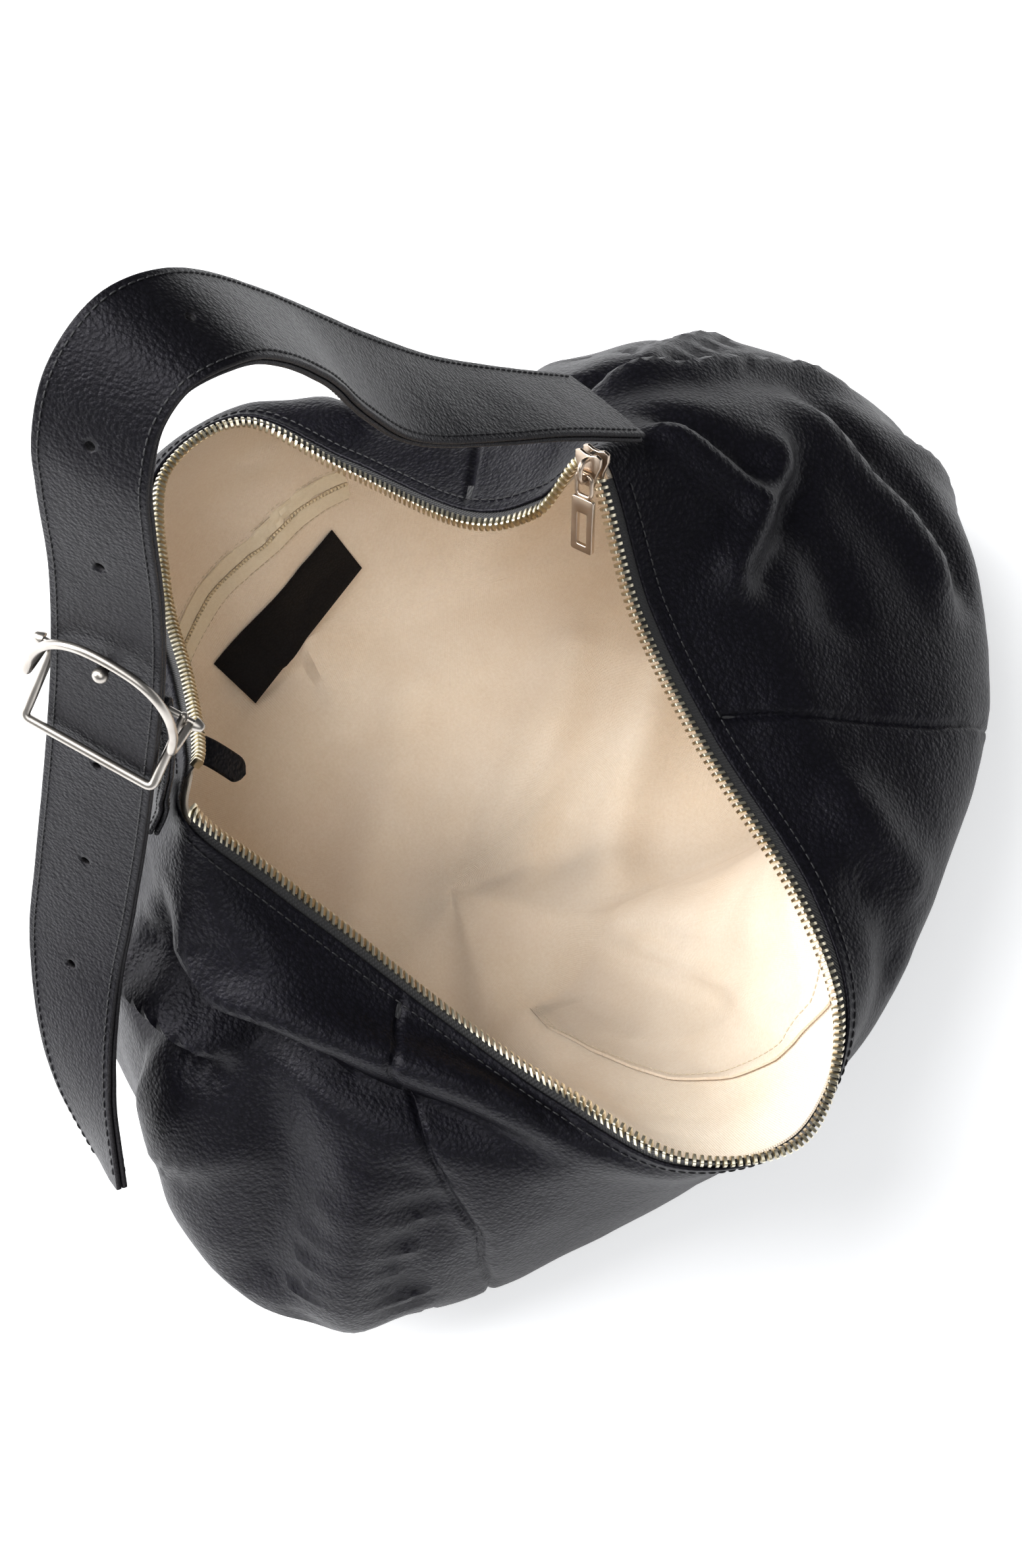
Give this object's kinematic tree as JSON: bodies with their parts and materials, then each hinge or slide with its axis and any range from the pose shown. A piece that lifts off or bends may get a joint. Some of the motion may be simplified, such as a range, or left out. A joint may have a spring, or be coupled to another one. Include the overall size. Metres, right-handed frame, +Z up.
{
  "type": "hobo bag",
  "caption": "Slouchy leather shoulder bag with an open curved zip mouth, canvas lining, inner pockets, and one buckled shoulder strap",
  "frame": {"origin": "middle of the bottom of the whole bag's box, on the surface the bag stands on", "axes": "+Z up, +X from the buckle end of the mouth to the slider end, -Y to the front, where the mouth gapes"},
  "size_m": [0.4196, 0.3508, 0.4496],
  "materials": {
    "leather": "pebbled, soft sheen",
    "canvas": "plain weave cotton",
    "zip_tape": "woven tape",
    "zip_metal": "pale, polished",
    "hardware": "satin nickel plate"
  },
  "bodies": {
    "bag": {"panel_front": "leather", "panel_right": "leather", "panel_back": "leather", "panel_left": "leather", "base_panel": "leather", "label_patch": "leather", "strap_face_sewn_end": "leather", "strap_back_sewn_end": "leather", "short_strap_sewn_outer": "leather", "short_strap_sewn_inner": "leather", "zip_end_tab": "leather", "lining_front": "canvas", "lining_back": "canvas", "lining_floor": "canvas", "slip_pocket": "canvas", "pocket_tape_upper": "canvas", "pocket_tape_lower": "canvas", "pocket_teeth": "canvas", "zip_tape_front": "zip_tape", "zip_tape_back": "zip_tape", "zip_teeth_front": "zip_metal", "zip_teeth_back": "zip_metal", "zip_slider": "zip_metal"},
    "strap_loop": {"strap_face": "leather", "strap_back": "leather", "short_strap": "leather", "buckle_bar": "hardware", "buckle_ring": "hardware", "buckle_arch": "hardware", "stud": "hardware", "stud_tab": "leather"},
    "zip_pull": {"zip_pull_link": "zip_metal", "zip_pull_tab": "zip_metal"}
  },
  "joints": [
    {"name": "strap_swing", "type": "hinge", "parent": "bag", "child": "strap_loop", "pos_m": [-0.03316, 0.03251, 0.228], "axis": [1, 0, 0], "range_deg": [-60, 75]},
    {"name": "zip_pull_swing", "type": "hinge", "parent": "bag", "child": "zip_pull", "pos_m": [0.05248, 0.02397, 0.22618], "axis": [-0.1299, 0.9406, -0.3138], "range_deg": [0, 120]}
  ]
}
